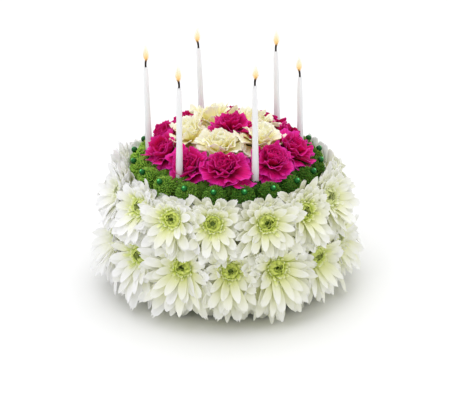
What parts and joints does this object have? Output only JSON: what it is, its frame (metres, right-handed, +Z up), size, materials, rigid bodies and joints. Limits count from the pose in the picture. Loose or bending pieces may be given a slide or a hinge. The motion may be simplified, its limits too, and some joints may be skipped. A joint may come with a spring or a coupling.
{
  "type": "floral birthday cake with candles",
  "caption": "Cake-shaped flower arrangement with a side of white chrysanthemums, a green beaded rim, a magenta and cream carnation top and slim lit taper candles.",
  "frame": {"origin": "centre of the flat base", "axes": "+Z up through the dome, front towards -Y, +X to the right seen from the front"},
  "size_m": [0.2398, 0.2384, 0.2302],
  "materials": {
    "foam": "matt green foam, hidden by the flowers",
    "white_petal": "soft white petal with greenish cream shade towards the heart",
    "magenta_petal": "velvety magenta petal, paler and pinker at the ruffled edge",
    "cream_petal": "soft pale yellow petal",
    "green_bract": "fine mossy green",
    "pearl": "glossy green pearl",
    "wax": "smooth white wax, slightly translucent",
    "wick": "charred cotton",
    "flame": "glowing flame, made in the scene only"
  },
  "bodies": {
    "root": {"form": "foam", "mum_lower_01": "white_petal", "mum_lower_02": "white_petal", "mum_lower_03": "white_petal", "mum_lower_04": "white_petal", "mum_lower_05": "white_petal", "mum_lower_06": "white_petal", "mum_lower_07": "white_petal", "mum_lower_08": "white_petal", "mum_lower_09": "white_petal", "mum_lower_10": "white_petal", "mum_lower_11": "white_petal", "mum_lower_12": "white_petal", "mum_lower_13": "white_petal", "mum_lower_14": "white_petal", "mum_upper_01": "white_petal", "mum_upper_02": "white_petal", "mum_upper_03": "white_petal", "mum_upper_04": "white_petal", "mum_upper_05": "white_petal", "mum_upper_06": "white_petal", "mum_upper_07": "white_petal", "mum_upper_08": "white_petal", "mum_upper_09": "white_petal", "mum_upper_10": "white_petal", "mum_upper_11": "white_petal", "mum_upper_12": "white_petal", "mum_upper_13": "white_petal", "mum_upper_14": "white_petal", "mum_upper_15": "white_petal", "carnation_magenta_01": "magenta_petal", "carnation_magenta_02": "magenta_petal", "carnation_magenta_03": "magenta_petal", "carnation_magenta_04": "magenta_petal", "carnation_magenta_05": "magenta_petal", "carnation_magenta_06": "magenta_petal", "carnation_magenta_07": "magenta_petal", "carnation_magenta_08": "magenta_petal", "carnation_magenta_09": "magenta_petal", "carnation_magenta_10": "magenta_petal", "carnation_centre": "magenta_petal", "carnation_cream_01": "cream_petal", "carnation_cream_02": "cream_petal", "carnation_cream_03": "cream_petal", "carnation_cream_04": "cream_petal", "carnation_cream_05": "cream_petal", "green_rim_1": "green_bract", "green_rim_2": "green_bract", "candle_1": "wax", "candle_2": "wax", "candle_3": "wax", "candle_4": "wax", "candle_5": "wax", "candle_6": "wax", "wick_1": "wick", "wick_2": "wick", "wick_3": "wick", "wick_4": "wick", "wick_5": "wick", "wick_6": "wick"}
  },
  "joints": []
}
